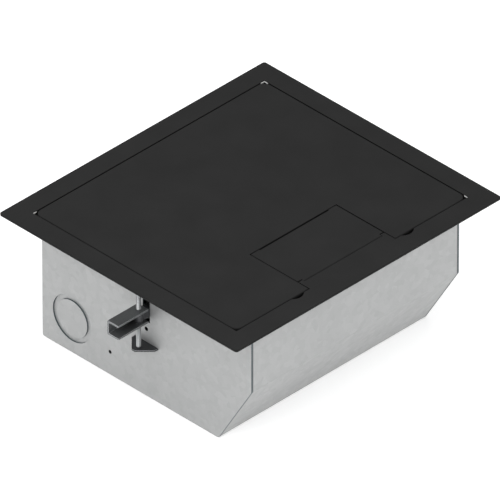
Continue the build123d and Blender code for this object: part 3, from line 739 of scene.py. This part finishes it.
def solidBoxes(name):
    # lowest and highest corners of each solid in a node, from a merged copy of its triangles
    solid = bmesh.new()
    solid.from_mesh(nodes[name].data)
    bmesh.ops.remove_doubles(solid, verts=solid.verts, dist=tiny)
    left = set(solid.verts)
    boxes = []
    while left:
        reached = [left.pop()]
        for vertex in reached:
            for edge in vertex.link_edges:
                other = edge.other_vert(vertex)
                if other in left:
                    left.remove(other)
                    reached.append(other)
        low = Vector([min(v.co[i] for v in reached) for i in range(3)])
        high = Vector([max(v.co[i] for v in reached) for i in range(3)])
        boxes.append((low, high))
    solid.free()
    return sorted(boxes, key=lambda b: tuple(round(c, 5) for c in b[0]))


def makeRod(radius, bottom, top, chamfer, sides=32):
    # a turned length on the Z axis with both of its rims chamfered
    rod = addCylinder(radius, bottom, top, sides)
    editMesh(rod)
    selectWhere(rod, "EDGE", lambda c: min(abs(c.z - top), abs(c.z - bottom)) < tiny)
    bpy.ops.mesh.bevel(offset=chamfer, segments=2)
    leaveMesh()
    return rod


def makeThread(pitch, root, crest, bottom, top, steps):
    # one tooth drawn as an edge, wound upwards by the Screw modifier from the bottom towards the top
    turns = math.floor((top - bottom) / pitch) - 1
    bpy.ops.mesh.primitive_plane_add(size=pitch, rotation=(math.pi / 2, 0, 0))
    thread = bpy.context.object
    bpy.ops.object.transform_apply(location=False, rotation=True, scale=False)
    editMesh(thread)
    selectWhere(thread, "VERT", lambda c: c.x > 0)
    bpy.ops.mesh.delete(type="VERT")
    bpy.ops.mesh.select_all(action="SELECT")
    bpy.ops.mesh.subdivide(number_cuts=1)
    middle = pitch / 2 + bottom
    bpy.ops.transform.translate(value=(root + pitch / 2, 0, middle))
    selectWhere(thread, "VERT", lambda c: abs(c.z - middle) < tiny)
    bpy.ops.transform.translate(value=(crest - root, 0, 0))
    bpy.ops.object.mode_set(mode="OBJECT")
    wind = thread.modifiers.new("wind", "SCREW")
    wind.axis = "Z"
    wind.screw_offset = pitch
    wind.iterations = turns
    wind.steps = wind.render_steps = steps
    wind.use_merge_vertices = True
    applyModifier(thread, wind)
    editMesh(thread)
    bpy.ops.mesh.select_all(action="SELECT")
    bpy.ops.mesh.remove_doubles(threshold=tiny)
    bpy.ops.mesh.fill_holes(sides=0)
    leaveMesh()
    return thread


def makeCross(length, width, top, depth, taper):
    # cutter for a crossed recess that narrows towards its floor
    arms = []
    for across, along in ((length, width), (width, length)):
        arm = addBlock((across, along, 3 * depth), (0, 0, top - depth / 2 + depth))
        editMesh(arm)
        selectWhere(arm, "VERT", lambda c: c.z < top)
        bpy.ops.transform.resize(value=(taper, taper, 1))
        leaveMesh()
        arms.append(arm)
    cutWith(arms[0], arms[1], "UNION")
    return arms[0]


# Pan head screws: a low dome with a cross recess over a rolled thread
panScrew = {
    "recessLength": 0.62,  # share of the head's width
    "recessWidth": 0.17,   # share of the head's width
    "recessDepth": 0.55,   # share of the head's height
    "recessTaper": 0.6,
    "dome": 0.72,          # share of the head's height that is rounded
    "domeSteps": 6,
    "sides": 40,
    "pitch": 0.8,          # mm
    "threadDepth": 0.12,   # share of the shank's radius
    "threadSteps": 16,
    "intoHead": 0.25,      # share of the head's height that the shank reaches up
    "neck": 0.94,          # share of the shank's radius
    "neckLength": 1.6,     # mm
    "neckChamfer": 0.125,  # share of the shank's radius
}
up, down, front = Vector((0, 0, 1)), Vector((0, 0, -1)), Vector((0, -1, 0))
smallHead = {"head": 3.2, "height": 2.1, "shank": 1.7}  # mm: two radii and the head's height
largeHead = {"head": 3.9, "height": 2.4, "shank": 2.0}
panScrewSets = {
    "frame_screws": (largeHead, "zinc_plated_steel", up),
    "flap_carrier_screws": (smallHead, "zinc_plated_steel", down),
    "wiring_cover_screws": (smallHead, "zinc_plated_steel", up),
    "divider_screws": (smallHead, "zinc_plated_steel", up),
    "receptacle_screws": (smallHead, "zinc_plated_steel", front),
    "terminal_screws": (smallHead, "brass", None),      # up or down, away from their socket
}


def makePanScrew(v, head, height, shank, length):
    dome = addCylinder(head, 0, height, v["sides"])
    editMesh(dome)
    selectWhere(dome, "EDGE", lambda c: c.z > height - tiny)
    bpy.ops.mesh.bevel(offset=height * v["dome"], segments=v["domeSteps"])
    leaveMesh()
    recess = makeCross(
        2 * head * v["recessLength"],
        2 * head * v["recessWidth"],
        height,
        height * v["recessDepth"],
        v["recessTaper"],
    )
    cutWith(dome, recess)
    pitch, neckLength = metres(v["pitch"], v["neckLength"])
    inHead = height * v["intoHead"]
    root = shank * (1 - v["threadDepth"])
    thread = makeThread(pitch, root, shank, -length, inHead, v["threadSteps"])
    neck = makeRod(shank * v["neck"], -neckLength, inHead, shank * v["neckChamfer"])
    return joinPieces([dome, thread, neck], "pan screw")


def axisMatrix(box, direction, headHeight):
    # the box of an upright or lying screw gives its axis; its head is where the direction points
    low, high = box
    axis = max(range(3), key=lambda i: abs(direction[i]))
    seat = (low + high) / 2
    seat[axis] = (high[axis] if direction[axis] > 0 else low[axis]) - direction[axis] * headHeight
    return Matrix.Translation(seat) @ direction.to_track_quat("Z", "Y").to_matrix().to_4x4()


def awayFromSocket(box):
    # terminal screws stand out above and below their socket's body
    bodies = [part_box(name) for name in ("lower_receptacle_body", "upper_receptacle_body")]
    middle = (box[0].z + box[1].z) / 2
    nearest = min(((low[2] + high[2]) / 2 for low, high in bodies), key=lambda z: abs(z - middle))
    return up if middle > nearest else down


for name, (form, slot, direction) in panScrewSets.items():
    head, height, shank = metres(form["head"], form["height"], form["shank"])
    boxes = solidBoxes(name)
    size = boxes[0][1] - boxes[0][0]
    length = (size.y if direction is front else size.z) - height
    master = makePanScrew(panScrew, head, height, shank, length)
    places = [axisMatrix(box, direction or awayFromSocket(box), height) for box in boxes]
    replaceWithCopies(master, places, name, slot)
print("pan head screws made")


# Countersunk plate screws: flat head with one slot
flatScrew = {
    "head": 3.2,           # mm, as are all sizes here but the shares
    "sink": 1.7,
    "shank": 1.7,
    "groove": 0.9,
    "grooveDepth": 0.6,
    "rim": 0.12,
    "lean": 0.53,          # share of the head's radius at its lower end
    "sides": 40,
    "pitch": 0.8,
    "threadRoot": 0.88,    # share of the shank's radius
    "threadSteps": 16,
    "neck": 0.9,           # share of the shank's radius
    "neckLength": 1.0,
    "neckChamfer": 0.125,  # share of the shank's radius
}


def makeFlatScrew(v, length):
    head, sink, shank = metres(v["head"], v["sink"], v["shank"])
    groove, grooveDepth, rim = metres(v["groove"], v["grooveDepth"], v["rim"])
    pitch, neckLength = metres(v["pitch"], v["neckLength"])
    cone = addCylinder(head, -sink, 0, v["sides"])
    editMesh(cone)
    selectWhere(cone, "VERT", lambda c: c.z < -sink / 2)
    bpy.ops.transform.resize(value=(v["lean"], v["lean"], 1))
    selectWhere(cone, "EDGE", lambda c: c.z > -tiny)
    bpy.ops.mesh.bevel(offset=rim, segments=2)
    leaveMesh()
    cutWith(cone, addBlock((3 * head, groove, 2 * grooveDepth), (0, 0, 0)))
    root = shank * v["threadRoot"]
    thread = makeThread(pitch, root, shank, -length, -sink / 2, v["threadSteps"])
    neck = makeRod(shank * v["neck"], -sink - neckLength, -sink / 2, shank * v["neckChamfer"])
    return joinPieces([cone, thread, neck], "flat screw")


for name in ("power_plate_screws", "data_plate_screws"):
    boxes = solidBoxes(name)
    master = makeFlatScrew(flatScrew, (boxes[0][1] - boxes[0][0]).y)
    places = [axisMatrix(box, front, 0.0) for box in boxes]
    replaceWithCopies(master, places, name, "zinc_plated_steel")
print("plate screws made")


# Hexagon nuts: corners turned off on both faces
hexNut = {
    "chamfer": 0.35,      # mm
    "turnedSides": 64,
    "turnedTo": 1.001,    # share of the corners' radius, so that the corners stay
    "boreSides": 40,
    "bores": {"frame_nuts": 2.0, "earth_nut": 2.4},   # mm, radius
    "slots": {"frame_nuts": "zinc_plated_steel", "earth_nut": "brass"},
}


def makeHexNut(v, box, bore):
    low, high = box
    width, depth, height = high - low
    corners = min(width, depth) / math.cos(math.pi / 6) / 2
    radius = corners * v["turnedTo"]
    turned = makeRod(radius, -height / 2, height / 2, v["chamfer"] / 1000, v["turnedSides"])
    hexagon = addCylinder(corners, -height, height, 6)
    hexagon.data.transform(Matrix.Rotation(math.pi / 6 if width > depth else 0, 4, "Z"))
    cutWith(turned, hexagon, "INTERSECT")
    cutWith(turned, addCylinder(bore, -height, height, v["boreSides"]))
    turned.data.transform(Matrix.Translation((low + high) / 2))
    return turned


for name, slot in hexNut["slots"].items():
    bore = hexNut["bores"][name] / 1000
    nuts = [makeHexNut(hexNut, box, bore) for box in solidBoxes(name)]
    putInPlace(joinPieces(nuts, pieceName(name, "Chamfered")), "box", slot, name)
print("nuts made")


# Rubber bumpers: pads with round ends and a soft top edge
bumper = {
    "endRound": 0.4995,   # share of the pad's width
    "endSteps": 10,
    "edge": 0.3,          # mm
    "edgeSteps": 3,
}


def makeBumper(v, box):
    low, high = box
    size, middle = high - low, (low + high) / 2
    pad = addBlock(size, middle)
    editMesh(pad)
    selectWhere(pad, "EDGE", lambda c: abs(c.z - middle.z) < tiny)
    bpy.ops.mesh.bevel(offset=min(size.x, size.y) * v["endRound"], segments=v["endSteps"])
    selectWhere(pad, "EDGE", lambda c: c.z > high.z - tiny)
    bpy.ops.mesh.bevel(offset=v["edge"] / 1000, segments=v["edgeSteps"])
    leaveMesh()
    return pad


for name in ("lid_bumpers", "flap_bumpers"):
    pads = [makeBumper(bumper, box) for box in solidBoxes(name)]
    putInPlace(joinPieces(pads, pieceName(name, "Soft")), "box", "black_rubber", name)
print("bumpers made")


# Clamp screws: a long thread between a slotted cheese head and the journal in the bracket
clampScrew = {
    "pitch": 0.79375,        # mm, 32 threads to the inch; all sizes here are in mm but the shares
    "crest": 2.05,
    "root": 1.6,
    "threadSteps": 20,
    "threadInHead": 0.75,
    "head": 4.0,
    "headHeight": 3.0,
    "headChamfer": 0.4,
    "headSides": 40,
    "groove": 0.9,
    "grooveDepth": 1.4,
    "crossLength": 1.3,      # share of the head's radius
    "crossTaper": 0.7,
    "neck": 1.1,             # share of the thread's root
    "neckLength": 2.0,
    "neckInHead": 1.0,
    "neckChamfer": 0.1,
    "journal": 1.5,
    "journalLength": 3.1,
    "journalInThread": 1.5,
    "journalChamfer": 0.2,
}


def makeClampScrew(v, box):
    low, high = box
    middle = (low + high) / 2
    head, headHeight, headChamfer = metres(v["head"], v["headHeight"], v["headChamfer"])
    top = makeRod(head, 0, headHeight, headChamfer, v["headSides"])
    groove, grooveDepth = metres(v["groove"], v["grooveDepth"])
    cutWith(top, addBlock((3 * head, groove, 2 * grooveDepth), (0, 0, headHeight)))
    recess = makeCross(v["crossLength"] * head, groove, headHeight, grooveDepth, v["crossTaper"])
    cutWith(top, recess)
    journalLength, journalInThread = metres(v["journalLength"], v["journalInThread"])
    bottom = low.z + journalLength - (high.z - headHeight)
    pitch, root, crest, inHead = metres(v["pitch"], v["root"], v["crest"], v["threadInHead"])
    thread = makeThread(pitch, root, crest, bottom, inHead, v["threadSteps"])
    neckLength, neckInHead, chamfer = metres(v["neckLength"], v["neckInHead"], v["neckChamfer"])
    neck = makeRod(root * v["neck"], -neckLength, neckInHead, chamfer)
    journalRadius, journalChamfer = metres(v["journal"], v["journalChamfer"])
    journalTop = bottom + journalInThread
    journal = makeRod(journalRadius, bottom - journalLength, journalTop, journalChamfer)
    screw = joinPieces([top, thread, neck, journal], "clamp screw")
    screw.data.transform(Matrix.Translation((middle.x, middle.y, high.z - headHeight)))
    return screw


for side in ("left", "right"):
    name = f"{side}_clamp_screw"
    screw = makeClampScrew(clampScrew, solidBoxes(name)[0])
    screw.name = pieceName(name, "Threaded")
    putInPlace(screw, f"{side}_screw", "zinc_plated_steel", name)
print("clamp screws made")
